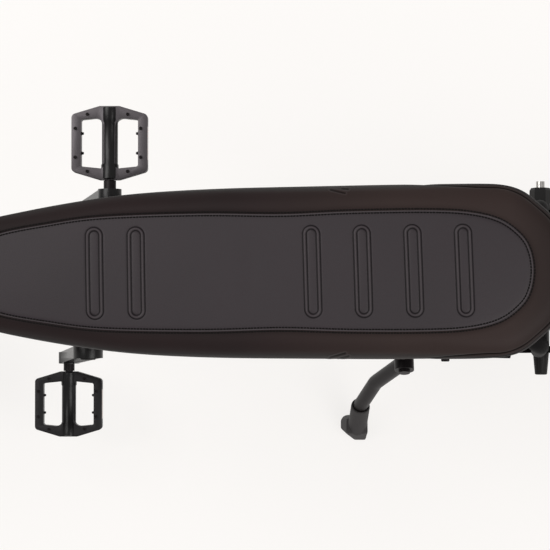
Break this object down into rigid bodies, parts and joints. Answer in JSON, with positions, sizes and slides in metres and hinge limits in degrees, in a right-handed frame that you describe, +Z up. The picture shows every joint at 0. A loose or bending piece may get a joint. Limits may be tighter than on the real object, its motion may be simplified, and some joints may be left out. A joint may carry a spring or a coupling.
{
  "type": "electric fat bike",
  "caption": "Electric fat bike with a long bench seat, fat spoked wheels, suspension fork, rear hub motor and frame battery, leaning on its side stand.",
  "frame": {"origin": "bottom centre of the bike's bounding box, on the floor", "axes": "+X towards the front wheel, +Y to the rider's left, +Z up; the bike leans to its left on its side stand"},
  "size_m": [1.7889, 0.7098, 1.1039],
  "materials": {
    "frame_paint": "satin",
    "battery_case": "matte",
    "seat_leather": "matte",
    "black_plastic": "matte",
    "tail_red": "gloss",
    "chain_steel": "satin",
    "black_steel": "matte",
    "bright_steel": "satin",
    "black_alloy": "satin",
    "grip_rubber": "matte",
    "tyre_rubber": "matte",
    "amber": "gloss",
    "lens_glass": "gloss"
  },
  "bodies": {
    "frame": {"frame": "frame_paint", "battery": "battery_case", "controller": "battery_case", "seat_base": "black_plastic", "seat_cushion": "seat_leather", "rear_fender": "black_plastic", "tail_light": "tail_red", "chain": "chain_steel", "derailleur": "black_steel", "jockey_wheels": "black_plastic", "rear_axle": "bright_steel", "axle_cap": "black_plastic", "axle_nut": "black_steel", "rear_caliper": "black_alloy", "stand_bracket": "frame_paint", "stand_pin": "black_steel", "rack_eyelets": "black_steel"},
    "steering": {"fork_crown": "frame_paint", "fork_lowers": "black_alloy", "front_axle": "bright_steel", "stem": "black_alloy", "handlebar": "black_alloy", "grip_left": "grip_rubber", "grip_right": "grip_rubber", "lever_left": "black_plastic", "lever_right": "black_plastic", "display": "black_plastic", "headlight": "black_plastic", "headlight_lens": "lens_glass", "front_fender": "black_plastic", "front_caliper": "black_alloy"},
    "front_wheel": {"front_tyre": "tyre_rubber", "front_rim": "black_alloy", "front_spokes": "bright_steel", "front_hub": "black_alloy", "front_rotor": "chain_steel"},
    "rear_wheel": {"rear_tyre": "tyre_rubber", "rear_rim": "black_alloy", "rear_spokes": "bright_steel", "hub_motor": "black_alloy", "rear_rotor": "chain_steel", "freewheel": "chain_steel"},
    "crankset": {"crank_arms": "black_alloy", "chainring": "black_alloy", "chain_guard": "black_plastic", "pedal_spindles": "black_steel"},
    "right_pedal": {"pedal_right": "black_alloy", "reflectors_right": "amber"},
    "left_pedal": {"pedal_left": "black_alloy", "reflectors_left": "amber"},
    "side_stand": {"stand_leg": "black_steel", "stand_foot": "grip_rubber"}
  },
  "joints": [
    {"name": "steering", "type": "hinge", "parent": "frame", "child": "steering", "pos_m": [0.56278, -0.10831, 0.27097], "axis": [-0.3746, 0.129, 0.9182], "range_deg": [-60, 60]},
    {"name": "front_wheel", "type": "hinge", "parent": "steering", "child": "front_wheel", "pos_m": [0.6045, -0.10596, 0.28766], "axis": [0, 0.9903, -0.1392], "continuous": true},
    {"name": "rear_wheel", "type": "hinge", "parent": "frame", "child": "rear_wheel", "pos_m": [-0.5855, -0.10596, 0.28766], "axis": [0, 0.9903, -0.1392], "continuous": true},
    {"name": "crankset", "type": "hinge", "parent": "frame", "child": "crankset", "pos_m": [0.0545, -0.10318, 0.30747], "axis": [0, 0.9903, -0.1392], "continuous": true},
    {"name": "right_pedal", "type": "hinge", "parent": "crankset", "child": "right_pedal", "pos_m": [0.00907, -0.25813, 0.49467], "axis": [0, 0.9903, -0.1392], "continuous": true},
    {"name": "left_pedal", "type": "hinge", "parent": "crankset", "child": "left_pedal", "pos_m": [0.09993, 0.05178, 0.12026], "axis": [0, 0.9903, -0.1392], "continuous": true},
    {"name": "side_stand", "type": "hinge", "parent": "frame", "child": "side_stand", "pos_m": [-0.3935, 0.00303, 0.24407], "axis": [0, 0.9764, 0.2161], "range_deg": [0, 94]}
  ]
}
